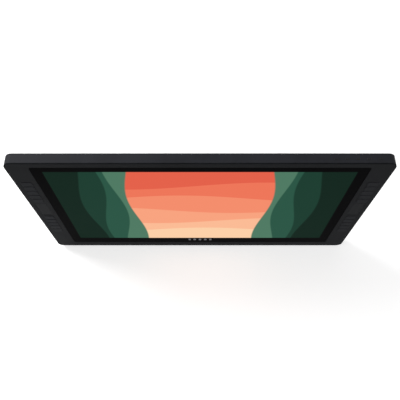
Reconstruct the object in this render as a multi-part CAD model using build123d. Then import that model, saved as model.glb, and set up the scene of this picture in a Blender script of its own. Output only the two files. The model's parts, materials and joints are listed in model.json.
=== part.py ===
from build123d import *
from math import asin, cos, degrees, radians, sin
import os

# Pen display tablet standing on an opened rear leg. Millimetres, +Z up, +X along the
# long side, screen facing -Y. The origin is the bottom centre of the bounding box.
#
# The panel is modelled lying in its own frame and placed once at the end: x to the right,
# y up the panel from its bottom edge, z out of the screen with z = 0 at the front plane.

# ---- Screen ----
ACTIVE_W = 476.6  # lit area of a 21.5 inch 16:9 panel
ACTIVE_H = 268.1
BORDER_SIDE = 17.7  # printed border of the glass round the lit area
BORDER_TOP = 13.1
BORDER_BOTTOM = 24.3
GLASS_T = 1.1
GLASS_R = 4.0
GLASS_GAP = 0.3
GLASS_CHAMFER = 0.25
CELL_MARGIN = 3.5
CELL_DRIVER_EDGE = 8.0
CELL_T = 1.4
FILM_T = 0.7
GUIDE_T = 3.0
GUIDE_GAP = 0.5
LED_STRIP_W = 2.4
LED_PITCH = 7.2
LED_SIZE = 3.2
LED_HEIGHT = 1.0
LEDGE_SIDE = 6.7  # from the lit area to the ledge that carries the glass
LEDGE_END = 8.95
LEDGE_R = 3.0
TRAY_T = 0.8
TRAY_EDGE = 1.0  # how far the tray's rim reaches under the ledge
SENSOR_T = 1.6
SHIELD_T = 0.6
SENSOR_MARGIN = 2.0

# ---- Housing ----
BEZEL_SIDE = 36.0
BEZEL_TOP = 11.2
BEZEL_BOTTOM = 19.0
HOUSING_T = 23.5
CORNER_R = 11.5
WALL = 2.2
SIDE_DEPTH = 18.4  # straight part of the side wall, measured from the front plane
BACK_INSET = 9.0  # how far the back plane lies inside the side walls
SHOULDER_R = 2.0  # rounding between the side wall and the back slope
BACK_EDGE_R = 1.2
INNER_SLOPE_LIFT = 1.4  # keeps the sloped wall about as thick as the straight one

# ---- Front frame ----
RIM_T = 0.9
FRAME_T = 2.2
FRAME_EDGE_R = 0.6
SEAM_GAP = 1.1  # open shadow line between the frame's rim and the rear cover
SKIRT_INSET = 2.4
SKIRT_W = 1.6
SKIRT_DEPTH = 4.2

# ---- Express keys and touch bars ----
KEYS_PER_GROUP = 5
KEY_PITCH = 14.8
KEY_W = 18.0
KEY_H = 13.0
KEY_R = 2.5
KEY_RISE = 0.5
KEY_GAP = 0.3
KEY_EDGE_R = 0.4
KEY_FLANGE = 0.6
KEY_FLANGE_T = 0.8
KEY_STEM_R = 2.0
KEY_TRAVEL = 0.4
KEY_OVERTRAVEL = 0.1  # left between the pressed stem and its switch
TOUCH_BAR_W = 18.0
TOUCH_BAR_H = 45.0
TOUCH_BAR_DIP = 0.2
TOUCH_BAR_T = 1.0
TOUCH_BAR_GAP = 0.15
GROUP_GAP = 6.0  # between a touch bar and the nearest key
BOARD_T = 1.6
KEY_BOARD_Z = -9.0  # front face of the key boards
KEY_BOARD_W = 22.0
KEY_BOARD_END = 8.0
KEY_POST_R = 2.0
SWITCH_SIZE = 6.0
SWITCH_T = 3.4
PLUNGER_R = 1.7
PLUNGER_T = 0.6

# ---- Buttons on the top edge ----
TOP_KEYS = 5
TOP_KEY_PITCH = 16.2
TOP_ROW_FROM_SIDE = 58.4  # from the housing's right side to the middle button
TOP_KEY_Z = -8.4
TOP_KEY_W = 6.0
TOP_KEY_H = 2.6
TOP_KEY_RISE = 0.5
TOP_KEY_EDGE_R = 0.4
TOP_KEY_GAP = 0.15
TOP_FLANGE = 1.0
TOP_FLANGE_T = 0.8
TOP_STEM = 2.0
TOP_SWITCH_DEPTH = 4.0
TOP_PLUNGER_R = 1.0
TOP_PLUNGER_T = 0.8
TOP_BOARD_Z = -10.4  # front face of the buttons' board
TOP_BOARD_DEPTH = 9.5
TOP_BOARD_FROM_EDGE = 7.0
TOP_BOARD_END = 9.0
TOP_POST_R = 1.6
TOP_POST_INSET = 4.3
LENS_R = 0.9
LENS_GAP = 0.05
LENS_FLANGE_R = 1.8
LENS_LENGTH = 3.6

# ---- Screws that close the housing ----
POST_R = 4.0
POST_END_Z = -12.0
POST_BORE_END_Z = -5.0
SCREW_R = 1.5
THREAD_GAP = 0.05
SCREW_CLEARANCE = 0.2
SCREW_HEAD_R = 2.8
SCREW_HEAD_T = 2.0
SCREW_END_Z = -6.0
BOSS_R = 5.0
COUNTERBORE_R = 3.2
COUNTERBORE_Z = -15.5
SIDE_SCREWS = 4
SIDE_SCREW_FROM_TRAY = 8.0
SIDE_SCREW_FROM_END = 30.0
BOTTOM_SCREW_X = 140.0
BOTTOM_SCREW_Y = 20.0
DRIVE_R = 1.1
DRIVE_W = 0.55
DRIVE_DEPTH = 1.1
HEAD_EDGE_SHARE = 0.25  # rounding of a screw or pin head, as a share of its height

# ---- Mounting holes on the back, 100 mm square, M4 ----
VESA_PITCH = 100.0
INSERT_BORE_R = 1.65
INSERT_R = 2.8
INSERT_GAP = 0.05
INSERT_SINK = 0.1
INSERT_LENGTH = 6.4
VESA_BOSS_R = 5.5
VESA_BOSS_CAP = 1.0
PAD_SIZE = 124.0  # outline groove round the mounting area
PAD_GROOVE_W = 1.6
PAD_GROOVE_DEPTH = 0.4

# ---- Port recess ----
RECESS_W = 110.0
RECESS_H = 42.0
RECESS_BELOW_VESA = 65.0
RECESS_FLOOR_Z = -12.0
RECESS_WALL = 2.0
RECESS_R = 3.0
TRAY_LIP = 0.3  # the cover's window is this much wider than the tray all round
TRAY_FLANGE = 3.0
TRAY_FLANGE_T = 1.2

# ---- Circuit boards and sockets ----
BOARD_Z = -11.4  # front face of the boards
STANDOFF_R = 2.5
BOARD_SCREW_R = 1.25
BOARD_SCREW_GAP = 0.1
BOARD_SCREW_HEAD_R = 2.4
BOARD_SCREW_HEAD_T = 1.4
STANDOFF_BORE_DEPTH = 1.8
BOARD_HOLE_EDGE = 5.0
MAIN_BOARD_W = 140.0
MAIN_BOARD_H = 100.0
MAIN_BOARD_GAP = 3.0  # above the port recess
DRIVER_BOARD_X = (96.0, 176.0)
DRIVER_BOARD_H = 44.0
CHIP_T = 1.4
MEMORY_CHIP = 12.0
MEMORY_CHIP_X = -40.0
MEMORY_CHIP_UP = (-16.0, 6.0)
TOUCH_CHIP = 9.0
TOUCH_CHIP_X = 40.0
VIDEO_CHIP = 14.0
SUPPLY_CHIP = 8.0
COIL_SIZE = 11.0
COIL_T = 4.2
CAPACITOR_R = 3.5
CAPACITOR_T = 4.2
DRIVER_PART_PITCH = 20.0
HEAT_PLATE = 44.0
HEAT_PLATE_T = 1.2
HEAT_SINK_UP = 11.0  # above the middle of the main board
FIN_COUNT = 8
FIN_T = 1.4
FIN_HEIGHT = 2.6
SOCKET_SINK = 0.4
SOCKET_DEPTH = 12.0
SOCKET_SHELL = 0.4
SOCKET_CUT_GAP = 0.2
VIDEO_X = -30.0
VIDEO_W = 15.0
VIDEO_T = 5.4
VIDEO_TONGUE_W = 10.0
VIDEO_TONGUE_T = 1.2
DATA_X = 0.0
DATA_W = 8.9
DATA_T = 3.3
DATA_TONGUE_W = 6.2
DATA_TONGUE_T = 0.7
POWER_X = 30.0
POWER_W = 9.0
POWER_T = 7.6
POWER_Z = -15.4
POWER_BORE_R = 2.85
POWER_PIN_R = 1.05
POWER_BORE_DEPTH = 9.5
POWER_PIN_SINK = 0.8

# ---- Cooling slots in the back ----
VENT_COUNT = 24
VENT_PITCH = 7.0
VENT_W = 2.2
VENT_H = 16.0
VENT_END_R = 1.09
VENT_FROM_TOP = 40.0

# ---- Posture, rear leg and feet ----
PANEL_TILT = 75.0  # degrees between the panel and the table
FOOT_T = 1.5  # thinnest part of the wedge feet
WEDGE_FRONT_Z = -5.0
WEDGE_W = 46.0
WEDGE_R = 2.5
WEDGE_FROM_SIDE = 87.0
PIVOT_FROM_TOP = 88.0
PIVOT_STANDOFF = 9.0  # from the back plane to the hinge axis
LEG_FROM_BOTTOM = 10.0  # from the folded leg's end face to the housing's lower edge
LEG_HALF_W = 102.0
LEG_ARM_W = 14.0
LEG_T = 8.0
LEG_CROSSBAR_H = 20.0
LEG_OUTER_R = 22.0
LEG_INNER_R = 9.0
LEG_EDGE_R = 1.2
KNUCKLE_R = 7.0
LEG_FOOT_HEIGHT = 3.0
LEG_FOOT_W = 120.0
PIN_R = 4.0
HINGE_CLEARANCE = 0.05
PIN_HEAD_R = 6.2
PIN_HEAD_T = 2.4
PIN_HEAD_GAP = 0.1
WASHER_T = 1.0
WASHER_R = 6.6
EAR_T = 5.0
BRACKET_W = 26.0
BRACKET_H = 42.0
BRACKET_T = 2.5
BRACKET_R = 3.0
BRACKET_SCREW_INSET = 6.0
BRACKET_BOSS_R = 3.6
BRACKET_BOSS_DEPTH = 7.0
BRACKET_SCREW_DEPTH = 6.0

# ---- Derived sizes and positions ----
GLASS_W = ACTIVE_W + 2 * BORDER_SIDE
GLASS_H = ACTIVE_H + BORDER_TOP + BORDER_BOTTOM
HOUSING_W = GLASS_W + 2 * BEZEL_SIDE
HOUSING_H = GLASS_H + BEZEL_TOP + BEZEL_BOTTOM
LEDGE_W = ACTIVE_W + 2 * LEDGE_SIDE
LEDGE_H = ACTIVE_H + 2 * LEDGE_END
TRAY_W = LEDGE_W + 2 * TRAY_EDGE
TRAY_H = LEDGE_H + 2 * TRAY_EDGE
MID_Y = HOUSING_H / 2
GLASS_Y = BEZEL_BOTTOM + GLASS_H / 2
ACTIVE_Y = BEZEL_BOTTOM + BORDER_BOTTOM + ACTIVE_H / 2
CELL_BACK_Z = -GLASS_T - CELL_T
GUIDE_FRONT_Z = CELL_BACK_Z - FILM_T
GUIDE_BACK_Z = GUIDE_FRONT_Z - GUIDE_T
TRAY_BACK_Z = GUIDE_BACK_Z - TRAY_T
SENSOR_BACK_Z = TRAY_BACK_Z - SENSOR_T
SHIELD_BACK_Z = SENSOR_BACK_Z - SHIELD_T
BOARD_BACK_Z = BOARD_Z - BOARD_T
BACK_Z = -HOUSING_T
INNER_BACK_Z = BACK_Z + WALL
COVER_FRONT_Z = -RIM_T - SEAM_GAP
TOP_INNER_Y = HOUSING_H - WALL
KEY_COLUMN_X = (HOUSING_W - BEZEL_SIDE) / 2
COLUMN_Y = ACTIVE_Y
HALF_GROUP = (KEYS_PER_GROUP - 1) / 2 * KEY_PITCH + KEY_H / 2
GROUP_OFFSET = TOUCH_BAR_H / 2 + GROUP_GAP + HALF_GROUP
TOP_KEY_X = HOUSING_W / 2 - TOP_ROW_FROM_SIDE
TOP_BOARD_Y = (HOUSING_H - TOP_BOARD_FROM_EDGE - TOP_BOARD_DEPTH, HOUSING_H - TOP_BOARD_FROM_EDGE)
LENS_X = TOP_KEY_X + (TOP_KEYS - 2) / 2 * TOP_KEY_PITCH
SIDE_SCREW_X = TRAY_W / 2 + SIDE_SCREW_FROM_TRAY
VESA_Y = MID_Y
INSERT_END_Z = BACK_Z + INSERT_SINK + INSERT_LENGTH
RECESS_TOP = VESA_Y - RECESS_BELOW_VESA
RECESS_Y = (RECESS_TOP - RECESS_H, RECESS_TOP)
MAIN_BOARD_X = (-MAIN_BOARD_W / 2, MAIN_BOARD_W / 2)
MAIN_BOARD_Y = (RECESS_TOP + MAIN_BOARD_GAP, RECESS_TOP + MAIN_BOARD_GAP + MAIN_BOARD_H)
DRIVER_BOARD_Y = (RECESS_TOP - DRIVER_BOARD_H, RECESS_TOP)
VENT_Y = HOUSING_H - VENT_FROM_TOP
WEDGE_X = HOUSING_W / 2 - WEDGE_FROM_SIDE
PIVOT_Y = HOUSING_H - PIVOT_FROM_TOP
PIVOT_Z = BACK_Z - PIVOT_STANDOFF
LEG_LENGTH = PIVOT_Y - LEG_FROM_BOTTOM  # from the hinge axis to the end face of the crossbar
FLOOR_OFFSET = -SIDE_DEPTH * cos(radians(PANEL_TILT)) - FOOT_T


def panel_to_table(y, z):
    """Depth and height of a panel point before the whole object is centred."""
    tilt = radians(PANEL_TILT)
    return y * cos(tilt) - z * sin(tilt), y * sin(tilt) + z * cos(tilt) - FLOOR_OFFSET


PIVOT_DEPTH, PIVOT_HEIGHT = panel_to_table(PIVOT_Y, PIVOT_Z)
LEG_SLANT = 180.0 - degrees(asin((PIVOT_HEIGHT - LEG_FOOT_HEIGHT) / LEG_LENGTH))
LEG_OPEN = LEG_SLANT - PANEL_TILT  # how far the leg is swung out from the back


def leg_end(across):
    """Depth and height of the leg's end face, across its thickness."""
    slant = radians(LEG_SLANT)
    depth = PIVOT_DEPTH - LEG_LENGTH * cos(slant) + across * sin(slant)
    return depth, PIVOT_HEIGHT - LEG_LENGTH * sin(slant) - across * cos(slant)


FRONT_DEPTH = FRAME_EDGE_R * (cos(radians(PANEL_TILT)) + sin(radians(PANEL_TILT)) - 1)
REAR_DEPTH = leg_end(LEG_T / 2)[0]
CENTRE_DEPTH = (FRONT_DEPTH + REAR_DEPTH) / 2
PANEL_PLACE = Pos(0, -CENTRE_DEPTH, -FLOOR_OFFSET) * Rot(PANEL_TILT, 0, 0)
LEG_SWING = Pos(0, PIVOT_Y, PIVOT_Z) * Rot(LEG_OPEN, 0, 0) * Pos(0, -PIVOT_Y, -PIVOT_Z)


# ---- Shape helpers ----
def slab(width, height, radius, z_low, z_high, x=0.0, y=0.0):
    """Rounded rectangle parallel to the screen."""
    outline = RectangleRounded(width, height, radius)
    return Pos(x, y, z_low) * extrude(outline, z_high - z_low)


def inset_slab(inset, z_low, z_high):
    """The housing's outline, moved in from its sides."""
    size = (HOUSING_W - 2 * inset, HOUSING_H - 2 * inset, CORNER_R - inset)
    return slab(*size, z_low, z_high, y=MID_Y)


def block(x_range, y_range, z_range):
    """Box between two corners."""
    size = [high - low for low, high in (x_range, y_range, z_range)]
    middle = [(high + low) / 2 for low, high in (x_range, y_range, z_range)]
    return Pos(*middle) * Box(*size)


def disc(radius, z_low, z_high, x, y):
    """Cylinder along the panel's z."""
    return Pos(x, y, (z_low + z_high) / 2) * Cylinder(radius, z_high - z_low)


def rod_x(radius, x_low, x_high, y, z):
    """Cylinder along x."""
    return Pos((x_low + x_high) / 2, y, z) * Rot(0, 90, 0) * Cylinder(radius, x_high - x_low)


def rod_y(radius, y_low, y_high, x, z):
    """Cylinder along y."""
    return Pos(x, (y_low + y_high) / 2, z) * Rot(90, 0, 0) * Cylinder(radius, y_high - y_low)


def edges_at(shape, z):
    """Edges that lie in one plane parallel to the screen."""
    near = 0.001
    return shape.edges().filter_by_position(Axis.Z, z - near, z + near)


def mirrored(shape):
    return mirror(shape, about=Plane.YZ)


def group(shapes):
    """Separate solids that share one node."""
    return Compound([solid for shape in shapes for solid in shape.solids()])


# ---- Repeated positions ----
def key_ys():
    """Key centres from the top key of the upper group to the lowest key."""
    down = [(i - (KEYS_PER_GROUP - 1) / 2) * KEY_PITCH for i in range(KEYS_PER_GROUP)]
    return [COLUMN_Y + s * GROUP_OFFSET - offset for s in (1, -1) for offset in down]


def top_key_xs():
    return [TOP_KEY_X + (i - (TOP_KEYS - 1) / 2) * TOP_KEY_PITCH for i in range(TOP_KEYS)]


def screw_points():
    pitch = (HOUSING_H - 2 * SIDE_SCREW_FROM_END) / (SIDE_SCREWS - 1)
    ys = [SIDE_SCREW_FROM_END + i * pitch for i in range(SIDE_SCREWS)]
    sides = [(s * SIDE_SCREW_X, y) for s in (-1, 1) for y in ys]
    return sides + [(s * BOTTOM_SCREW_X, BOTTOM_SCREW_Y) for s in (-1, 1)]


def vesa_points():
    half = VESA_PITCH / 2
    return [(sx * half, VESA_Y + sy * half) for sx in (-1, 1) for sy in (-1, 1)]


def bracket_screw_points():
    inner = LEG_HALF_W + WASHER_T + EAR_T + BRACKET_SCREW_INSET
    outer = LEG_HALF_W + WASHER_T + BRACKET_W - BRACKET_SCREW_INSET
    half = BRACKET_H / 2 - BRACKET_SCREW_INSET
    return [(x, PIVOT_Y + s * half) for x in (inner, outer) for s in (-1, 1)]


def board_hole_points():
    points = []
    for xs, ys in ((MAIN_BOARD_X, MAIN_BOARD_Y), (DRIVER_BOARD_X, DRIVER_BOARD_Y)):
        for x in (xs[0] + BOARD_HOLE_EDGE, xs[1] - BOARD_HOLE_EDGE):
            points += [(x, ys[0] + BOARD_HOLE_EDGE), (x, ys[1] - BOARD_HOLE_EDGE)]
    return points


def key_post_ys():
    """Midway between the touch bar and each group of keys."""
    reach = (TOUCH_BAR_H + GROUP_GAP) / 2
    return [COLUMN_Y - reach, COLUMN_Y + reach]


def top_post_xs():
    """Between the first two and the last two buttons."""
    reach = (TOP_KEYS - 2) / 2 * TOP_KEY_PITCH
    return [TOP_KEY_X - reach, TOP_KEY_X + reach]


# ---- Housing ----
def front_frame():
    rim = inset_slab(0, -RIM_T, 0)
    rim = fillet(edges_at(rim, 0), FRAME_EDGE_R)
    plate = inset_slab(SKIRT_INSET, -FRAME_T, -RIM_T)
    skirt = inset_slab(SKIRT_INSET, -SKIRT_DEPTH, -FRAME_T)
    skirt -= inset_slab(SKIRT_INSET + SKIRT_W, -SKIRT_DEPTH, -FRAME_T)
    frame = rim + plate + skirt
    gap = 2 * GLASS_GAP
    frame -= slab(GLASS_W + gap, GLASS_H + gap, GLASS_R + GLASS_GAP, -GLASS_T, 0, y=GLASS_Y)
    frame -= slab(LEDGE_W, LEDGE_H, LEDGE_R, -FRAME_T, -GLASS_T, y=ACTIVE_Y)
    for x in (-KEY_COLUMN_X, KEY_COLUMN_X):
        for y in key_ys():
            size = (KEY_W + 2 * KEY_GAP, KEY_H + 2 * KEY_GAP)
            frame -= slab(*size, KEY_R + KEY_GAP, -FRAME_T, 0, x=x, y=y)
        size = (TOUCH_BAR_W + 2 * TOUCH_BAR_GAP, TOUCH_BAR_H + 2 * TOUCH_BAR_GAP)
        floor = -TOUCH_BAR_DIP - TOUCH_BAR_T
        frame -= slab(*size, KEY_R + TOUCH_BAR_GAP, floor, 0, x=x, y=COLUMN_Y)
        for y in key_post_ys():
            frame += disc(KEY_POST_R, KEY_BOARD_Z, -FRAME_T, x, y)
    for x in top_post_xs():
        frame += disc(TOP_POST_R, TOP_BOARD_Z, -FRAME_T, x, TOP_BOARD_Y[0] + TOP_POST_INSET)
    for x, y in screw_points():
        frame += disc(POST_R, POST_END_Z, -FRAME_T, x, y)
        frame -= disc(SCREW_R + THREAD_GAP, POST_END_Z, POST_BORE_END_Z, x, y)
    return frame


def cover_shell():
    """Outside of the rear cover: straight side walls, then a slope to the back plane."""
    walls = inset_slab(0, -SIDE_DEPTH, COVER_FRONT_Z)
    side = Pos(0, MID_Y, -SIDE_DEPTH) * RectangleRounded(HOUSING_W, HOUSING_H, CORNER_R)
    inset = 2 * BACK_INSET
    back = RectangleRounded(HOUSING_W - inset, HOUSING_H - inset, CORNER_R - BACK_INSET)
    shell = walls + loft([side, Pos(0, MID_Y, BACK_Z) * back])
    shell = fillet(edges_at(shell, -SIDE_DEPTH), SHOULDER_R)
    return fillet(edges_at(shell, BACK_Z), BACK_EDGE_R)


def cover_cavity():
    """Inside of the rear cover, one wall thickness in from the shell."""
    start = -SIDE_DEPTH + INNER_SLOPE_LIFT
    slope = BACK_INSET / (HOUSING_T - SIDE_DEPTH)
    extra = (start - INNER_BACK_Z) * slope
    width, height, radius = HOUSING_W - 2 * WALL, HOUSING_H - 2 * WALL, CORNER_R - WALL
    walls = slab(width, height, radius, start, COVER_FRONT_Z, y=MID_Y)
    side = Pos(0, MID_Y, start) * RectangleRounded(width, height, radius)
    back = RectangleRounded(width - 2 * extra, height - 2 * extra, radius - extra)
    return walls + loft([side, Pos(0, MID_Y, INNER_BACK_Z) * back])


def cover_bosses():
    bosses = [disc(BOSS_R, BACK_Z, POST_END_Z, x, y) for x, y in screw_points()]
    bosses += [disc(VESA_BOSS_R, BACK_Z, INSERT_END_Z + VESA_BOSS_CAP, x, y) for x, y in vesa_points()]
    for x, y in bracket_screw_points():
        bosses += [disc(BRACKET_BOSS_R, BACK_Z, BACK_Z + BRACKET_BOSS_DEPTH, s * x, y) for s in (-1, 1)]
    return bosses


def recess_block(margin, z_low, z_high):
    """Block as wide as the port recess plus a margin all round."""
    size = (RECESS_W + 2 * margin, RECESS_H + 2 * margin)
    return slab(*size, RECESS_R + margin, z_low, z_high, y=RECESS_TOP - RECESS_H / 2)


def socket_cuts():
    """Windows for the sockets in the upper wall and flange of the port tray."""
    gap = SOCKET_CUT_GAP
    through = (RECESS_Y[1], RECESS_Y[1] + RECESS_WALL + TRAY_FLANGE)
    cuts = []
    for x, width, depth in ((VIDEO_X, VIDEO_W, VIDEO_T), (DATA_X, DATA_W, DATA_T)):
        across = (x - width / 2 - gap, x + width / 2 + gap)
        cuts.append(block(across, through, (BOARD_BACK_Z - depth - gap, BOARD_BACK_Z + gap)))
    across = (POWER_X - POWER_W / 2 - gap, POWER_X + POWER_W / 2 + gap)
    deep = (POWER_Z - POWER_T / 2 - gap, POWER_Z + POWER_T / 2 + gap)
    return cuts + [block(across, through, deep)]


def pad_groove():
    """Shallow outline round the mounting holes."""
    inner = PAD_SIZE - 2 * PAD_GROOVE_W
    depth = (BACK_Z, BACK_Z + PAD_GROOVE_DEPTH)
    groove = slab(PAD_SIZE, PAD_SIZE, BOSS_R, *depth, y=VESA_Y)
    return groove - slab(inner, inner, BOSS_R - PAD_GROOVE_W, *depth, y=VESA_Y)


def rear_cover():
    shell = cover_shell()
    cover = shell - cover_cavity()
    for boss in cover_bosses():
        cover += boss & shell
    cover -= recess_block(TRAY_LIP, BACK_Z, INNER_BACK_Z)
    cover -= pad_groove()
    for x, y in screw_points():
        cover -= disc(COUNTERBORE_R, BACK_Z, COUNTERBORE_Z, x, y)
        cover -= disc(SCREW_R + SCREW_CLEARANCE, COUNTERBORE_Z, POST_END_Z, x, y)
    for x, y in vesa_points():
        cover -= disc(INSERT_R + INSERT_GAP, BACK_Z, INSERT_END_Z, x, y)
    for x, y in bracket_screw_points():
        for side in (-1, 1):
            cover -= disc(SCREW_R + THREAD_GAP, BACK_Z, BACK_Z + BRACKET_SCREW_DEPTH, side * x, y)
    for i in range(VENT_COUNT):
        x = (i - (VENT_COUNT - 1) / 2) * VENT_PITCH
        cover -= slab(VENT_W, VENT_H, VENT_END_R, BACK_Z, INNER_BACK_Z, x=x, y=VENT_Y)
    wall = (TOP_INNER_Y, HOUSING_H)
    for x in top_key_xs():
        half_w, half_h = TOP_KEY_W / 2 + TOP_KEY_GAP, TOP_KEY_H / 2 + TOP_KEY_GAP
        cover -= block((x - half_w, x + half_w), wall, (TOP_KEY_Z - half_h, TOP_KEY_Z + half_h))
    return cover - rod_y(LENS_R + LENS_GAP, *wall, LENS_X, TOP_KEY_Z)


def port_tray():
    """Tray of the port recess; its flange rests on the inside of the cover's back wall."""
    tray = recess_block(RECESS_WALL, INNER_BACK_Z, RECESS_FLOOR_Z + RECESS_WALL)
    tray += recess_block(RECESS_WALL + TRAY_FLANGE, INNER_BACK_Z, INNER_BACK_Z + TRAY_FLANGE_T)
    tray -= recess_block(0, INNER_BACK_Z, RECESS_FLOOR_Z)
    for cut in socket_cuts():
        tray -= cut
    return tray


def cross_drive(z_low, x, y):
    """Cross slot in the back face of a screw head."""
    deep = (z_low, z_low + DRIVE_DEPTH)
    arm, half = DRIVE_R, DRIVE_W / 2
    flat = block((x - arm, x + arm), (y - half, y + half), deep)
    return flat + block((x - half, x + half), (y - arm, y + arm), deep)


def pan_screw(seat_z, end_z, head_r, head_t, radius, x, y):
    """Screw driven in from the back, its head resting on the plane seat_z."""
    head = disc(head_r, seat_z - head_t, seat_z, x, y)
    head = fillet(edges_at(head, seat_z - head_t), head_t * HEAD_EDGE_SHARE)
    return head + disc(radius, seat_z, end_z, x, y) - cross_drive(seat_z - head_t, x, y)


def cover_screws():
    size = (SCREW_HEAD_R, SCREW_HEAD_T, SCREW_R)
    return group([pan_screw(COUNTERBORE_Z, SCREW_END_Z, *size, x, y) for x, y in screw_points()])


def vesa_inserts():
    low = BACK_Z + INSERT_SINK
    inserts = []
    for x, y in vesa_points():
        ring = disc(INSERT_R, low, INSERT_END_Z, x, y)
        inserts.append(ring - disc(INSERT_BORE_R, low, INSERT_END_Z, x, y))
    return group(inserts)


def wedge_profile():
    """Section of the bottom feet: the gap between the bottom wall and the table."""
    tilt = radians(PANEL_TILT)
    low = [(FLOOR_OFFSET - z * cos(tilt)) / sin(tilt) for z in (-SIDE_DEPTH + SHOULDER_R, WEDGE_FRONT_Z)]
    back = -SIDE_DEPTH + SHOULDER_R
    return Polygon([(0, WEDGE_FRONT_Z), (0, back), (low[0], back), (low[1], WEDGE_FRONT_Z)], align=None)


def bottom_feet():
    foot = extrude(Plane.YZ * wedge_profile(), WEDGE_W / 2, both=True)
    foot = fillet(foot.edges().filter_by(Axis.Y), WEDGE_R)
    return group([Pos(s * WEDGE_X, 0, 0) * foot for s in (-1, 1)])


# ---- Screen stack ----
def cover_glass():
    glass = slab(GLASS_W, GLASS_H, GLASS_R, -GLASS_T, 0, y=GLASS_Y)
    return chamfer(edges_at(glass, 0), GLASS_CHAMFER)


def lcd_cell():
    low = ACTIVE_Y - ACTIVE_H / 2 - CELL_DRIVER_EDGE
    high = ACTIVE_Y + ACTIVE_H / 2 + CELL_MARGIN
    half = ACTIVE_W / 2 + CELL_MARGIN
    return block((-half, half), (low, high), (CELL_BACK_Z, -GLASS_T))


def guide_y_range():
    return ACTIVE_Y - ACTIVE_H / 2 - GUIDE_GAP, ACTIVE_Y + ACTIVE_H / 2 + CELL_MARGIN


def optical_films():
    half = ACTIVE_W / 2 + CELL_MARGIN
    return block((-half, half), guide_y_range(), (GUIDE_FRONT_Z, CELL_BACK_Z))


def light_guide():
    half = ACTIVE_W / 2 + CELL_MARGIN
    return block((-half, half), guide_y_range(), (GUIDE_BACK_Z, GUIDE_FRONT_Z))


def led_strip():
    """Row of small lamps on a narrow board, facing the lower edge of the light guide."""
    half = ACTIVE_W / 2
    front = guide_y_range()[0] - GUIDE_GAP
    board_y = (front - LED_HEIGHT - LED_STRIP_W, front - LED_HEIGHT)
    strip = block((-half, half), board_y, (GUIDE_BACK_Z, GUIDE_FRONT_Z))
    middle = (GUIDE_BACK_Z + GUIDE_FRONT_Z) / 2
    deep = (middle - GUIDE_T / 3, middle + GUIDE_T / 3)
    count = int(ACTIVE_W / LED_PITCH)
    for i in range(count):
        x = (i - (count - 1) / 2) * LED_PITCH
        strip += block((x - LED_SIZE / 2, x + LED_SIZE / 2), (board_y[1], front), deep)
    return strip


def panel_tray():
    tray = slab(TRAY_W, TRAY_H, LEDGE_R, TRAY_BACK_Z, -FRAME_T, y=ACTIVE_Y)
    size = (TRAY_W - 2 * TRAY_T, TRAY_H - 2 * TRAY_T, LEDGE_R - TRAY_T)
    return tray - slab(*size, GUIDE_BACK_Z, -FRAME_T, y=ACTIVE_Y)


def backing_sheet(z_low, z_high):
    size = (TRAY_W - 2 * SENSOR_MARGIN, TRAY_H - 2 * SENSOR_MARGIN, LEDGE_R)
    return slab(*size, z_low, z_high, y=ACTIVE_Y)


def pen_sensor_board():
    return backing_sheet(SENSOR_BACK_Z, TRAY_BACK_Z)


def sensor_shield():
    return backing_sheet(SHIELD_BACK_Z, SENSOR_BACK_Z)


# ---- Circuit boards and sockets ----
def drilled_board(x_range, y_range):
    board = block(x_range, y_range, (BOARD_BACK_Z, BOARD_Z))
    for x, y in board_hole_points():
        if x_range[0] < x < x_range[1] and y_range[0] < y < y_range[1]:
            board -= disc(BOARD_SCREW_R + BOARD_SCREW_GAP, BOARD_BACK_Z, BOARD_Z, x, y)
    return board


def chip(x, y, size, height=CHIP_T):
    half = size / 2
    return block((x - half, x + half), (y - half, y + half), (BOARD_BACK_Z - height, BOARD_BACK_Z))


def main_board():
    board = drilled_board(MAIN_BOARD_X, MAIN_BOARD_Y)
    notch = (POWER_X - POWER_W / 2, POWER_X + POWER_W / 2)
    depth = (MAIN_BOARD_Y[0], RECESS_Y[1] + SOCKET_SINK + SOCKET_DEPTH)
    board -= block(notch, depth, (BOARD_BACK_Z, BOARD_Z))
    middle = (MAIN_BOARD_Y[0] + MAIN_BOARD_Y[1]) / 2
    for up in MEMORY_CHIP_UP:
        board += chip(MEMORY_CHIP_X, middle + up, MEMORY_CHIP)
    board += chip(TOUCH_CHIP_X, middle + HEAT_SINK_UP, TOUCH_CHIP)
    return board + chip(TOUCH_CHIP_X, middle - HEAT_SINK_UP, VIDEO_CHIP)


def driver_board():
    """Backlight supply: a chip, a coil and two capacitors on the back of a small board."""
    board = drilled_board(DRIVER_BOARD_X, DRIVER_BOARD_Y)
    x = DRIVER_BOARD_X[0] + DRIVER_PART_PITCH
    y = (DRIVER_BOARD_Y[0] + DRIVER_BOARD_Y[1]) / 2
    board += chip(x, y, SUPPLY_CHIP)
    board += chip(x + DRIVER_PART_PITCH, y, COIL_SIZE, COIL_T)
    for up in (-BOARD_HOLE_EDGE, BOARD_HOLE_EDGE):
        can = (BOARD_BACK_Z - CAPACITOR_T, BOARD_BACK_Z)
        board += disc(CAPACITOR_R, *can, x + 2 * DRIVER_PART_PITCH, y + up)
    return board


def heat_sink():
    half = HEAT_PLATE / 2
    middle = (MAIN_BOARD_Y[0] + MAIN_BOARD_Y[1]) / 2 + HEAT_SINK_UP
    x_range, y_range = (-half, half), (middle - half, middle + half)
    back = BOARD_BACK_Z - HEAT_PLATE_T
    sink = block(x_range, y_range, (back, BOARD_BACK_Z))
    pitch = (HEAT_PLATE - FIN_T) / (FIN_COUNT - 1)
    for i in range(FIN_COUNT):
        x = -half + i * pitch
        sink += block((x, x + FIN_T), y_range, (back - FIN_HEIGHT, back))
    return sink


def board_standoffs():
    bore_end = BOARD_Z + STANDOFF_BORE_DEPTH
    posts = []
    for x, y in board_hole_points():
        post = disc(STANDOFF_R, BOARD_Z, SHIELD_BACK_Z, x, y)
        posts.append(post - disc(BOARD_SCREW_R + THREAD_GAP, BOARD_Z, bore_end, x, y))
    return group(posts)


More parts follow.
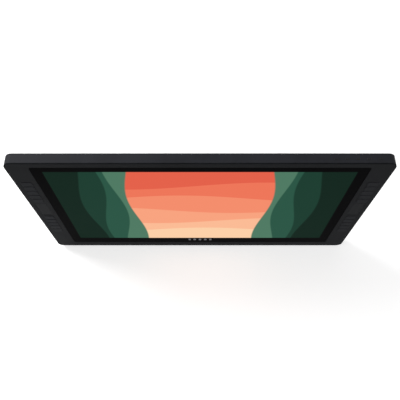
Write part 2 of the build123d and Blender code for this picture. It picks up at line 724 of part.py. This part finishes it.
def board_screws():
    end = BOARD_Z + STANDOFF_BORE_DEPTH - BOARD_SCREW_GAP
    size = (BOARD_SCREW_HEAD_R, BOARD_SCREW_HEAD_T, BOARD_SCREW_R)
    return group([pan_screw(BOARD_BACK_Z, end, *size, x, y) for x, y in board_hole_points()])


def shell_socket(x, width, depth, tongue_w, tongue_t):
    """Sheet-metal socket on the board's back, its mouth facing down the panel."""
    mouth = RECESS_Y[1] + SOCKET_SINK
    inner = mouth + SOCKET_DEPTH - SOCKET_SHELL
    low = BOARD_BACK_Z - depth
    half, shell = width / 2, SOCKET_SHELL
    body = block((x - half, x + half), (mouth, mouth + SOCKET_DEPTH), (low, BOARD_BACK_Z))
    space = ((x - half + shell, x + half - shell), (mouth, inner), (low + shell, BOARD_BACK_Z - shell))
    middle = (low + BOARD_BACK_Z) / 2
    tongue = (middle - tongue_t / 2, middle + tongue_t / 2)
    body -= block(*space)
    return body + block((x - tongue_w / 2, x + tongue_w / 2), (mouth + 2 * shell, inner), tongue)


def video_socket():
    return shell_socket(VIDEO_X, VIDEO_W, VIDEO_T, VIDEO_TONGUE_W, VIDEO_TONGUE_T)


def data_socket():
    return shell_socket(DATA_X, DATA_W, DATA_T, DATA_TONGUE_W, DATA_TONGUE_T)


def power_jack():
    mouth = RECESS_Y[1] + SOCKET_SINK
    half = POWER_W / 2
    deep = (POWER_Z - POWER_T / 2, POWER_Z + POWER_T / 2)
    body = block((POWER_X - half, POWER_X + half), (mouth, mouth + SOCKET_DEPTH), deep)
    body -= rod_y(POWER_BORE_R, mouth, mouth + POWER_BORE_DEPTH, POWER_X, POWER_Z)
    return body + rod_y(POWER_PIN_R, mouth + POWER_PIN_SINK, mouth + POWER_BORE_DEPTH, POWER_X, POWER_Z)


# ---- Keys ----
def express_key(x, y):
    cap = slab(KEY_W, KEY_H, KEY_R, -FRAME_T, KEY_RISE, x=x, y=y)
    cap = fillet(edges_at(cap, KEY_RISE), KEY_EDGE_R)
    size = (KEY_W + 2 * KEY_FLANGE, KEY_H + 2 * KEY_FLANGE, KEY_R)
    flange_back = -FRAME_T - KEY_FLANGE_T
    flange = slab(*size, flange_back, -FRAME_T, x=x, y=y)
    switch_front = KEY_BOARD_Z + SWITCH_T + PLUNGER_T
    return cap + flange + disc(KEY_STEM_R, switch_front + KEY_TRAVEL + KEY_OVERTRAVEL, flange_back, x, y)


def touch_bars():
    front = -TOUCH_BAR_DIP
    bar = slab(TOUCH_BAR_W, TOUCH_BAR_H, KEY_R, front - TOUCH_BAR_T, front, x=KEY_COLUMN_X, y=COLUMN_Y)
    bar = fillet(edges_at(bar, front), TOUCH_BAR_DIP)
    return group([bar, mirrored(bar)])


def key_boards():
    ys = key_ys()
    half = KEY_BOARD_W / 2
    across = (KEY_COLUMN_X - half, KEY_COLUMN_X + half)
    along = (min(ys) - KEY_H / 2 - KEY_BOARD_END, max(ys) + KEY_H / 2 + KEY_BOARD_END)
    board = block(across, along, (KEY_BOARD_Z - BOARD_T, KEY_BOARD_Z))
    return group([board, mirrored(board)])


def key_switches():
    half = SWITCH_SIZE / 2
    front = KEY_BOARD_Z + SWITCH_T
    switches = []
    for x in (-KEY_COLUMN_X, KEY_COLUMN_X):
        for y in key_ys():
            body = block((x - half, x + half), (y - half, y + half), (KEY_BOARD_Z, front))
            switches.append(body + disc(PLUNGER_R, front, front + PLUNGER_T, x, y))
    return group(switches)


def top_key(x):
    """Button in the top side wall, kept in by a flange behind the wall."""
    half_w, half_h = TOP_KEY_W / 2, TOP_KEY_H / 2
    out = (TOP_INNER_Y, HOUSING_H + TOP_KEY_RISE)
    cap = block((x - half_w, x + half_w), out, (TOP_KEY_Z - half_h, TOP_KEY_Z + half_h))
    cap = fillet(cap.faces().sort_by(Axis.Y)[-1].edges(), TOP_KEY_EDGE_R)
    wide, high = half_w + TOP_FLANGE, half_h + TOP_FLANGE
    inner = TOP_INNER_Y - TOP_FLANGE_T
    flange = block((x - wide, x + wide), (inner, TOP_INNER_Y), (TOP_KEY_Z - high, TOP_KEY_Z + high))
    half = TOP_STEM / 2
    end = top_plunger_y() + KEY_TRAVEL + KEY_OVERTRAVEL
    return cap + flange + block((x - half, x + half), (end, inner), (TOP_KEY_Z - half, TOP_KEY_Z + half))


def top_plunger_y():
    """Tip of the side-facing switches under the top buttons."""
    return TOP_BOARD_Y[1] - TOP_PLUNGER_T


def top_key_board():
    xs = top_key_xs()
    across = (xs[0] - TOP_BOARD_END, xs[-1] + TOP_BOARD_END)
    return block(across, TOP_BOARD_Y, (TOP_BOARD_Z - BOARD_T, TOP_BOARD_Z))


def top_key_switches():
    half = SWITCH_SIZE / 2
    front = top_plunger_y() - TOP_PLUNGER_T
    deep = (TOP_BOARD_Z, TOP_BOARD_Z + SWITCH_T)
    switches = []
    for x in top_key_xs():
        body = block((x - half, x + half), (front - TOP_SWITCH_DEPTH, front), deep)
        switches.append(body + rod_y(TOP_PLUNGER_R, front, top_plunger_y(), x, TOP_KEY_Z))
    return group(switches)


def status_lens():
    tip = rod_y(LENS_R, TOP_INNER_Y, HOUSING_H, LENS_X, TOP_KEY_Z)
    return tip + rod_y(LENS_FLANGE_R, TOP_INNER_Y - LENS_LENGTH, TOP_INNER_Y, LENS_X, TOP_KEY_Z)


# ---- Rear leg and its hinges, in the folded position ----
def stand_leg():
    """U-shaped frame whose arms end in knuckles on the hinge axis."""
    half_t = LEG_T / 2
    width = 2 * LEG_HALF_W
    low = PIVOT_Y - LEG_LENGTH
    tall = 2 * LEG_LENGTH
    outer = slab(width, tall, LEG_OUTER_R, PIVOT_Z - half_t, PIVOT_Z + half_t, y=low + LEG_LENGTH)
    window = width - 2 * LEG_ARM_W
    inner_low = low + LEG_CROSSBAR_H
    outer -= slab(window, tall, LEG_INNER_R, PIVOT_Z - half_t, PIVOT_Z + half_t, y=inner_low + LEG_LENGTH)
    keep = (low, PIVOT_Y)
    leg = outer & block((-width, width), keep, (PIVOT_Z - LEG_T, PIVOT_Z + LEG_T))
    faces = leg.faces().filter_by(Axis.Z)
    leg = fillet(faces.edges().filter_by(lambda e: e.center().Y < PIVOT_Y - half_t), LEG_EDGE_R)
    for side in (-1, 1):
        inner, out = side * (LEG_HALF_W - LEG_ARM_W), side * LEG_HALF_W
        leg += rod_x(KNUCKLE_R, min(inner, out), max(inner, out), PIVOT_Y, PIVOT_Z)
        leg -= rod_x(PIN_R, min(inner, out), max(inner, out), PIVOT_Y, PIVOT_Z)
    return leg


def hinge_pins():
    ear_out = LEG_HALF_W + WASHER_T + EAR_T
    shaft = rod_x(PIN_R, LEG_HALF_W - LEG_ARM_W, ear_out + PIN_HEAD_GAP, PIVOT_Y, PIVOT_Z)
    head = rod_x(PIN_HEAD_R, ear_out + PIN_HEAD_GAP, ear_out + PIN_HEAD_GAP + PIN_HEAD_T, PIVOT_Y, PIVOT_Z)
    pin = shaft + fillet(head.edges().sort_by(Axis.X)[-1], PIN_HEAD_T * HEAD_EDGE_SHARE)
    return group([pin, mirrored(pin)])


def friction_washers():
    washer = rod_x(WASHER_R, LEG_HALF_W, LEG_HALF_W + WASHER_T, PIVOT_Y, PIVOT_Z)
    washer -= rod_x(PIN_R + HINGE_CLEARANCE, LEG_HALF_W, LEG_HALF_W + WASHER_T, PIVOT_Y, PIVOT_Z)
    return group([washer, mirrored(washer)])


def hinge_bracket():
    """Plate screwed to the back with one ear that carries the hinge pin."""
    inner = LEG_HALF_W + WASHER_T
    base_z = (BACK_Z - BRACKET_T, BACK_Z)
    bracket = slab(BRACKET_W, BRACKET_H, BRACKET_R, *base_z, x=inner + BRACKET_W / 2, y=PIVOT_Y)
    ear_x = (inner, inner + EAR_T)
    bracket += block(ear_x, (PIVOT_Y - KNUCKLE_R, PIVOT_Y + KNUCKLE_R), (PIVOT_Z, BACK_Z))
    bracket += rod_x(KNUCKLE_R, *ear_x, PIVOT_Y, PIVOT_Z)
    bracket -= rod_x(PIN_R + HINGE_CLEARANCE, *ear_x, PIVOT_Y, PIVOT_Z)
    for x, y in bracket_screw_points():
        bracket -= disc(SCREW_R + SCREW_CLEARANCE, *base_z, x, y)
    return bracket


def bracket_screws():
    seat = BACK_Z - BRACKET_T
    end = BACK_Z + BRACKET_SCREW_DEPTH - BOARD_SCREW_GAP
    size = (SCREW_HEAD_R, SCREW_HEAD_T, SCREW_R)
    screws = [pan_screw(seat, end, *size, x, y) for x, y in bracket_screw_points()]
    return group(screws + [mirrored(screw) for screw in screws])


def stand_foot():
    """Rubber block between the leg's slanted end face and the table."""
    front, rear = leg_end(-LEG_T / 2), leg_end(LEG_T / 2)
    corners = [front, rear, (rear[0], 0), (front[0], 0)]
    profile = Polygon([(depth - CENTRE_DEPTH, height) for depth, height in corners], align=None)
    return extrude(Plane.YZ * profile, LEG_FOOT_W / 2, both=True)


def fixed_panel_parts():
    return {
        "front_frame": front_frame(),
        "cover_glass": cover_glass(),
        "lcd_cell": lcd_cell(),
        "optical_films": optical_films(),
        "light_guide": light_guide(),
        "led_strip": led_strip(),
        "panel_tray": panel_tray(),
        "pen_sensor_board": pen_sensor_board(),
        "sensor_shield": sensor_shield(),
        "board_standoffs": board_standoffs(),
        "main_board": main_board(),
        "driver_board": driver_board(),
        "heat_sink": heat_sink(),
        "board_screws": board_screws(),
        "video_socket": video_socket(),
        "data_socket": data_socket(),
        "power_jack": power_jack(),
        "rear_cover": rear_cover(),
        "port_tray": port_tray(),
        "cover_screws": cover_screws(),
        "vesa_inserts": vesa_inserts(),
        "bottom_feet": bottom_feet(),
        "key_boards": key_boards(),
        "key_switches": key_switches(),
        "touch_bars": touch_bars(),
        "top_key_board": top_key_board(),
        "top_key_switches": top_key_switches(),
        "status_lens": status_lens(),
        "left_hinge_bracket": mirrored(hinge_bracket()),
        "right_hinge_bracket": hinge_bracket(),
        "bracket_screws": bracket_screws(),
    }


def moving_panel_keys():
    keys = {}
    for number, y in enumerate(key_ys(), start=1):
        keys[f"left_express_key_{number}"] = express_key(-KEY_COLUMN_X, y)
        keys[f"right_express_key_{number}"] = express_key(KEY_COLUMN_X, y)
    for number, x in enumerate(top_key_xs(), start=1):
        keys[f"top_key_{number}"] = top_key(x)
    return keys


def leg_parts():
    return {
        "stand_leg": stand_leg(),
        "hinge_pins": hinge_pins(),
        "friction_washers": friction_washers(),
    }


def build():
    placed = {name: PANEL_PLACE * shape for name, shape in fixed_panel_parts().items()}
    placed.update({name: PANEL_PLACE * shape for name, shape in moving_panel_keys().items()})
    placed.update({name: PANEL_PLACE * LEG_SWING * shape for name, shape in leg_parts().items()})
    placed["stand_foot"] = stand_foot()
    return placed


def main():
    os.makedirs("parts", exist_ok=True)
    for name, shape in build().items():
        export_step(shape, f"parts/{name}.step")


if __name__ == "__main__":
    main()
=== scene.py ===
"""Looks of a pen display tablet that stands on its rear leg. Metres, in the CAD frame."""
import json
import math

import bpy
from mathutils import Matrix, Vector


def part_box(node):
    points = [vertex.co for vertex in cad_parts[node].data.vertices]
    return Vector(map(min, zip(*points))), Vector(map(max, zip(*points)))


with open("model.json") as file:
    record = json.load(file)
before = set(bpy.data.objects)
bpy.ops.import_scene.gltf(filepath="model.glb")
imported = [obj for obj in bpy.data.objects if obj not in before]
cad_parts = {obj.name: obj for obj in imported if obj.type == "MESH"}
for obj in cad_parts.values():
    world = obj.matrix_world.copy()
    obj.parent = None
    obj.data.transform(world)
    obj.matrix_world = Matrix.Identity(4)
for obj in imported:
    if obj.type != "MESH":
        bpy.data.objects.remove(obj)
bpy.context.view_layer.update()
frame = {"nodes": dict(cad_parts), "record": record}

# ---- Panel frame: x right, y up the panel, z out of the screen, from the middle of the glass ----
TILT = math.radians(75)
UP = Vector((0, math.cos(TILT), math.sin(TILT)))
OUT = Vector((0, -math.sin(TILT), math.cos(TILT)))
GLASS_T = 0.0011
ACTIVE_W, ACTIVE_H = 0.4766, 0.2681
ACTIVE_RISE = 0.0056  # lit area's middle above the glass's middle


def middle(node):
    low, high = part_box(node)
    return (Vector(low) + Vector(high)) / 2


GLASS_MID = middle("cover_glass")


def on_panel(x, y, z):
    """Point in the CAD frame from panel coordinates, z = 0 at the glass's face."""
    return GLASS_MID + Vector((x, 0, 0)) + UP * y + OUT * (z + GLASS_T / 2)


def linear(code, alpha=1.0):
    """Linear colour from a hex code."""
    parts = [int(code[i:i + 2], 16) / 255 for i in (0, 2, 4)]
    parts = [c / 12.92 if c <= 0.04045 else ((c + 0.055) / 1.055) ** 2.4 for c in parts]
    return (*parts, alpha)


class Shader:
    """A material's node tree with short calls for the nodes used here."""

    def __init__(self, name):
        self.material = bpy.data.materials.new(name)
        self.material.use_nodes = True
        self.tree = self.material.node_tree
        self.tree.nodes.clear()
        self.out = self.tree.nodes.new("ShaderNodeOutputMaterial")
        self.bsdf = self.tree.nodes.new("ShaderNodeBsdfPrincipled")
        self.tree.links.new(self.bsdf.outputs[0], self.out.inputs[0])
        self.place = self.tree.nodes.new("ShaderNodeTexCoord").outputs["Object"]

    def put(self, socket, value):
        if isinstance(value, bpy.types.NodeSocket):
            self.tree.links.new(value, socket)
        elif value is not None:
            socket.default_value = value

    def add(self, kind, inputs, **settings):
        node = self.tree.nodes.new("ShaderNode" + kind)
        for key, value in settings.items():
            setattr(node, key, value)
        for key, value in inputs.items():
            self.put(node.inputs[key], value)
        return node

    def math(self, operation, a, b=None, c=None, clamp=False):
        node = self.add("Math", {0: a}, operation=operation, use_clamp=clamp)
        self.put(node.inputs[1], b)
        self.put(node.inputs[2], c)
        return node.outputs[0]

    def mul(self, a, b):
        return self.math("MULTIPLY", a, b)

    def plus(self, a, b):
        return self.math("ADD", a, b)

    def minus(self, a, b):
        return self.math("SUBTRACT", a, b)

    def dot(self, vector, fixed):
        return self.add("VectorMath", {0: vector, 1: fixed}, operation="DOT_PRODUCT").outputs["Value"]

    def scaled(self, factors):
        return self.add("VectorMath", {0: self.place, 1: factors}, operation="MULTIPLY").outputs[0]

    def noise(self, vector, scale, detail=3.0, roughness=0.55, distortion=0.0):
        inputs = {"Vector": vector, "Scale": scale, "Detail": detail, "Roughness": roughness}
        return self.add("TexNoise", {**inputs, "Distortion": distortion}).outputs[0]

    def step(self, value, low, high, to_low=0.0, to_high=1.0):
        inputs = {0: value, 1: low, 2: high, 3: to_low, 4: to_high}
        return self.add("MapRange", inputs, interpolation_type="SMOOTHSTEP").outputs[0]

    def mix(self, factor, a, b):
        node = self.add("Mix", {0: factor}, data_type="RGBA", clamp_factor=True)
        self.put(node.inputs[6], a)
        self.put(node.inputs[7], b)
        return node.outputs[2]

    def bump(self, height, strength, distance, below=None):
        inputs = {"Height": height, "Strength": strength, "Distance": distance, "Normal": below}
        return self.add("Bump", inputs).outputs[0]

    def edges(self, radius):
        """1 on sharp edges, 0 on flats."""
        soft = self.add("Bevel", {"Radius": radius}, samples=4).outputs[0]
        true = self.add("NewGeometry", {}).outputs["Normal"]
        turn = self.add("VectorMath", {0: soft, 1: true}, operation="DOT_PRODUCT").outputs["Value"]
        return self.step(turn, 0.995, 0.85)


def surface(name, code, rough, metallic=0.0, specular=0.5, grain=900.0, depth=0.12, stretch=(1, 1, 1),
            mottle=0.12, edge_wear_and_highlight=0.0, wear_and_highlight_code="9a9da3", coat=0.0):
    """General finish: mottled colour, grain in the bump, uneven roughness, and lighter edges that are
    partly wear and partly a painted highlight.
    """
    s = Shader(name)
    base = linear(code)
    where = s.scaled(stretch)
    broad = s.noise(where, 26.0, 4.0)
    fine = s.noise(where, grain, 2.0, 0.6)
    dark = tuple(c * (1 - mottle) for c in base[:3]) + (1,)
    light = tuple(c * (1 + mottle) for c in base[:3]) + (1,)
    colour = s.mix(s.step(broad, 0.3, 0.7), dark, light)
    # Lighter colour on the edges, in patches: partly real wear, partly a painted highlight along the edges.
    if edge_wear_and_highlight:
        patches = s.step(s.noise(s.place, 140.0, 5.0), 0.45, 0.75, 0.2, 1.0)
        colour = s.mix(s.mul(s.mul(s.edges(0.0006), patches), edge_wear_and_highlight), colour, linear(wear_and_highlight_code))
    s.put(s.bsdf.inputs["Base Color"], colour)
    uneven = s.plus(s.mul(s.minus(broad, 0.5), 0.10), s.mul(s.minus(fine, 0.5), 0.08))
    s.put(s.bsdf.inputs["Roughness"], s.math("ADD", uneven, rough, clamp=True))
    s.put(s.bsdf.inputs["Metallic"], metallic)
    s.put(s.bsdf.inputs["Specular IOR Level"], specular)
    s.put(s.bsdf.inputs["Coat Weight"], coat)
    s.put(s.bsdf.inputs["Normal"], s.bump(fine, depth, 0.00012))
    return s


# ---- Picture on the screen: a plain abstract wallpaper ----
WAVE_LAG = 1.9  # how far each wave is shifted along from the one before, in radians
WAVE_SOFT = 0.003  # half of an edge's blur, as a share of the picture


def screen_uv(s):
    """u from left to right and w from top to bottom of the lit area, both 0 to 1."""
    along = s.minus(s.dot(s.place, UP), GLASS_MID.dot(UP) + ACTIVE_RISE)
    w = s.math("MULTIPLY_ADD", along, -1 / ACTIVE_H, 0.5)
    x = s.add("SeparateXYZ", {0: s.place}).outputs[0]
    return s.math("MULTIPLY_ADD", x, 1 / ACTIVE_W, 0.5), w


def inside(s, value, low, high, soft):
    """1 where low < value < high, with soft borders."""
    return s.mul(s.step(value, low - soft, low), s.step(value, high + soft, high))


def waves(s, colour, along, depth, codes, first, spacing, turns, sway):
    """Flat bands of colour, one behind the other in depth, whose edges sway as sines."""
    for i, code in enumerate(codes):
        swing = s.mul(s.math("SINE", s.plus(s.mul(along, turns), WAVE_LAG * i)), sway)
        reach = s.minus(s.minus(depth, first + spacing * i), swing)
        colour = s.mix(s.step(reach, -WAVE_SOFT, WAVE_SOFT), colour, linear(code))
    return colour


def wallpaper(s, u, w):
    """A plain abstract wallpaper: warm waves in the middle, green ones at both sides."""
    warm = waves(s, linear("e4614a"), u, w, ("ee7659", "f48d6c", "f8a37f", "fbbb95", "fcd0a8"),
                 0.17, 0.17, 6.5, 0.045)
    off_middle = s.math("ABSOLUTE", s.minus(u, 0.5))
    return waves(s, warm, w, off_middle, ("4f7a63", "2a5645", "1b3d30", "10261d"), 0.235, 0.055, 5.0, 0.022)


# ---- Cover glass; the mark is a plain row of bars on the lower border, in shares of the lit area ----
MARK_U = (0.452, 0.548)
MARK_W = (1.020, 1.048)
MARK_BARS = 90.0  # bars and gaps that would fit across the whole lit area


def screen_glass():
    """Etched cover glass: black printed border, lit picture in the middle."""
    s = Shader("screen_glass")
    u, w = screen_uv(s)
    lit = s.mul(inside(s, u, 0.0, 1.0, 0.0012), inside(s, w, 0.0, 1.0, 0.0022))
    bars = s.step(s.math("PINGPONG", s.mul(u, MARK_BARS), 1.0), 0.45, 0.60)
    mark = s.mul(s.mul(inside(s, u, *MARK_U, 0.001), inside(s, w, *MARK_W, 0.003)), bars)
    picture = wallpaper(s, u, w)
    cloud = s.noise(s.place, 30.0, 4.0)
    etch = s.noise(s.place, 5200.0, 1.0)
    border = s.mix(s.step(cloud, 0.3, 0.7), linear("070708"), linear("09090a"))
    border = s.mix(mark, border, linear("77777a"))
    s.put(s.bsdf.inputs["Base Color"], s.mix(lit, border, linear("050505")))
    glow = s.mix(lit, (0, 0, 0, 1), picture)
    s.put(s.bsdf.inputs["Emission Color"], glow)
    s.put(s.bsdf.inputs["Emission Strength"], 1.0)
    s.put(s.bsdf.inputs["Roughness"], s.step(cloud, 0.2, 0.8, 0.34, 0.42))
    s.put(s.bsdf.inputs["Specular IOR Level"], 0.002)
    s.put(s.bsdf.inputs["Normal"], s.bump(etch, 0.05, 0.00003))
    return s


def circuit_board(name, code):
    """Solder mask with copper tracks showing through as paler lines."""
    s = surface(name, code, 0.38, specular=0.5, grain=1500.0, depth=0.08)
    cell = s.add("TexVoronoi", {"Vector": s.place, "Scale": 260.0}, feature="DISTANCE_TO_EDGE")
    track = s.step(cell.outputs["Distance"], 0.10, 0.04)
    under = s.bsdf.inputs["Base Color"].links[0].from_socket
    s.put(s.bsdf.inputs["Base Color"], s.mix(s.mul(track, 0.45), under, linear("3f8a55")))
    return s


# The lighter edge colour in these finishes is partly wear and partly a painted highlight along the edges.
MAKERS = {
    "frame_plastic": lambda n: surface(n, "161719", 0.62, specular=0.03, grain=1900.0, depth=0.10,
                                       edge_wear_and_highlight=0.25, wear_and_highlight_code="4a4c50"),
    "cover_plastic": lambda n: surface(n, "1f2024", 0.58, specular=0.08, grain=1700.0, depth=0.16,
                                       edge_wear_and_highlight=0.25, wear_and_highlight_code="55575c"),
    "key_plastic": lambda n: surface(n, "1a1b1e", 0.60, specular=0.035, grain=2400.0, depth=0.08,
                                     edge_wear_and_highlight=0.35, wear_and_highlight_code="5a5c61"),
    "top_key_plastic": lambda n: surface(n, "0c0c0d", 0.45, specular=0.2, grain=2400.0, depth=0.08,
                                         edge_wear_and_highlight=0.3, wear_and_highlight_code="3c3d40"),
    "touch_bar": lambda n: surface(n, "17181a", 0.50, specular=0.025, grain=2600.0, depth=0.03, edge_wear_and_highlight=0.2),
    "leg_metal": lambda n: surface(n, "202226", 0.48, metallic=0.2, specular=0.4, grain=1300.0,
                                   depth=0.22, edge_wear_and_highlight=0.5),
    "hinge_steel": lambda n: surface(n, "1c1d20", 0.44, metallic=0.3, specular=0.4, grain=1300.0,
                                     depth=0.18, edge_wear_and_highlight=0.5),
    "pin_steel": lambda n: surface(n, "8f9297", 0.30, metallic=1.0, grain=900.0, depth=0.10,
                                   stretch=(0.08, 1, 1)),
    "rubber": lambda n: surface(n, "151516", 0.82, specular=0.25, grain=1500.0, depth=0.30, mottle=0.2),
    "black_screw": lambda n: surface(n, "1a1b1d", 0.40, metallic=0.8, grain=1600.0, depth=0.10,
                                     edge_wear_and_highlight=0.5, wear_and_highlight_code="7c7f84"),
    "steel_screw": lambda n: surface(n, "a4a7ab", 0.34, metallic=1.0, grain=1600.0, depth=0.10,
                                     edge_wear_and_highlight=0.3, wear_and_highlight_code="d8dadd"),
    "brass": lambda n: surface(n, "b08a45", 0.34, metallic=1.0, grain=1500.0, depth=0.12, edge_wear_and_highlight=0.4,
                               wear_and_highlight_code="dcc48c"),
    "status_lens": lambda n: surface(n, "202124", 0.22, specular=0.2, grain=2200.0, depth=0.03),
    "socket_steel": lambda n: surface(n, "9b9ea3", 0.32, metallic=1.0, grain=1200.0, depth=0.10,
                                      stretch=(1, 0.15, 0.15)),
    "jack_plastic": lambda n: surface(n, "111112", 0.46, specular=0.4, grain=1900.0, depth=0.10, edge_wear_and_highlight=0.2),
    "switch_plastic": lambda n: surface(n, "1b1b1d", 0.44, specular=0.4, grain=2100.0, depth=0.08),
    "sheet_steel": lambda n: surface(n, "9a9b9d", 0.36, metallic=1.0, grain=700.0, depth=0.10,
                                     stretch=(0.1, 1, 1)),
    "shield_foil": lambda n: surface(n, "77787b", 0.46, metallic=0.9, grain=900.0, depth=0.14,
                                     stretch=(0.15, 1, 1)),
    "aluminium_fins": lambda n: surface(n, "b4b7ba", 0.36, metallic=1.0, grain=800.0, depth=0.12,
                                        stretch=(1, 0.1, 0.1)),
    "white_film": lambda n: surface(n, "e6e6e0", 0.30, specular=0.5, grain=2000.0, depth=0.03),
    "guide_acrylic": lambda n: surface(n, "dfe5e4", 0.16, specular=0.5, grain=1200.0, depth=0.05),
    "led_board": lambda n: surface(n, "d8d5c6", 0.42, specular=0.5, grain=1700.0, depth=0.06),
    "lcd_glass": lambda n: surface(n, "3c3f44", 0.18, specular=0.5, grain=2600.0, depth=0.02),
    "sensor_board": lambda n: circuit_board(n, "17402a"),
    "green_board": lambda n: circuit_board(n, "0f4a26"),
}

finished = {}
for row in frame["record"]["subparts"]:
    slot = row["material_slot"]
    if slot not in finished:
        made = screen_glass() if slot == "cover_glass" else MAKERS[slot](slot)
        finished[slot] = made.material
    mesh = frame["nodes"][row["node"]].data
    mesh.materials.clear()
    mesh.materials.append(finished[slot])


# ---- Studio: pale floor, soft world, two soft lamps ----
FLOOR_SIZE = 30.0
FLOOR_GLOW = 0.42  # lifts the floor towards white where it is seen
WORLD_LEFT, WORLD_RIGHT = 0.78, 0.10  # the world's strength as light, from either side
LAMP_WATTS = 22


def studio_floor():
    bpy.ops.mesh.primitive_plane_add(size=FLOOR_SIZE, location=(0, 0, 0))
    floor = bpy.context.object
    floor.name = "studio_floor"
    s = Shader("studio_floor")
    grain = s.noise(s.place, 6.0, 4.0)
    s.put(s.bsdf.inputs["Base Color"], s.mix(grain, linear("e2e2e2"), linear("e6e6e6")))
    s.put(s.bsdf.inputs["Roughness"], 0.9)
    s.put(s.bsdf.inputs["Specular IOR Level"], 0.0)
    ray = s.add("LightPath", {})
    seen = s.math("MAXIMUM", ray.outputs["Is Camera Ray"], ray.outputs["Is Glossy Ray"])
    seen = s.math("MAXIMUM", seen, ray.outputs["Is Transmission Ray"])
    s.put(s.bsdf.inputs["Emission Color"], (1, 1, 1, 1))
    s.put(s.bsdf.inputs["Emission Strength"], s.mul(seen, FLOOR_GLOW))
    floor.data.materials.append(s.material)


def studio_world():
    """White backdrop; as light it is soft and weaker from the right than from the left."""
    world = bpy.data.worlds.new("studio_world")
    bpy.context.scene.world = world
    world.use_nodes = True
    tree = world.node_tree
    back = tree.nodes["Background"]
    back.inputs["Color"].default_value = (1, 1, 1, 1)
    where = tree.nodes.new("ShaderNodeTexCoord")
    split = tree.nodes.new("ShaderNodeSeparateXYZ")
    side = tree.nodes.new("ShaderNodeMapRange")
    side.inputs["From Min"].default_value = -0.7
    side.inputs["From Max"].default_value = 0.9
    side.inputs["To Min"].default_value = WORLD_LEFT
    side.inputs["To Max"].default_value = WORLD_RIGHT
    ray = tree.nodes.new("ShaderNodeLightPath")
    pick = tree.nodes.new("ShaderNodeMapRange")
    pick.inputs["To Max"].default_value = 1.0
    tree.links.new(where.outputs["Generated"], split.inputs[0])
    tree.links.new(split.outputs["X"], side.inputs["Value"])
    tree.links.new(side.outputs[0], pick.inputs["To Min"])
    seen = ray.outputs["Is Camera Ray"]
    for kind in ("Is Glossy Ray", "Is Transmission Ray"):
        either = tree.nodes.new("ShaderNodeMath")
        either.operation = "MAXIMUM"
        tree.links.new(seen, either.inputs[0])
        tree.links.new(ray.outputs[kind], either.inputs[1])
        seen = either.outputs[0]
    tree.links.new(seen, pick.inputs["Value"])
    tree.links.new(pick.outputs[0], back.inputs["Strength"])


def lamp(name, place, target, size, watts):
    data = bpy.data.lights.new(name, "AREA")
    data.shape = "DISK"
    data.size = size
    data.energy = watts
    made = bpy.data.objects.new(name, data)
    made.location = place
    made.rotation_euler = (Vector(target) - Vector(place)).to_track_quat("-Z", "Y").to_euler()
    bpy.context.scene.collection.objects.link(made)


studio_floor()
studio_world()
lamp("left_key", (-1.0, 0.75, 1.1), (-0.25, 0.0, 0.25), 0.7, LAMP_WATTS)
lamp("front_fill", (0.6, -1.8, 1.9), (0, 0, 0.2), 1.6, LAMP_WATTS)


# ---- Camera: close above the top edge, looking down the screen ----
LENS_MM = 44.3
SENSOR_MM = 36.0
DOWN_PANEL, INTO_PANEL = 0.8989, 0.4381  # cosine and sine of the view's angle to the panel
CAMERA_UP, CAMERA_OUT = 0.7897, 0.3636  # metres up from the glass's middle, and out from its face


def camera():
    data = bpy.data.cameras.new("view")
    data.sensor_width = SENSOR_MM
    data.lens = LENS_MM
    made = bpy.data.objects.new("view", data)
    bpy.context.scene.collection.objects.link(made)
    look = (-DOWN_PANEL * UP - INTO_PANEL * OUT).normalized()
    up = (INTO_PANEL * UP - DOWN_PANEL * OUT).normalized()
    right = look.cross(up)
    place = on_panel(0, CAMERA_UP, CAMERA_OUT)
    made.matrix_world = Matrix((
        (right.x, up.x, -look.x, place.x),
        (right.y, up.y, -look.y, place.y),
        (right.z, up.z, -look.z, place.z),
        (0, 0, 0, 1),
    ))
    bpy.context.scene.camera = made


camera()
bpy.context.scene.view_settings.view_transform = "Standard"
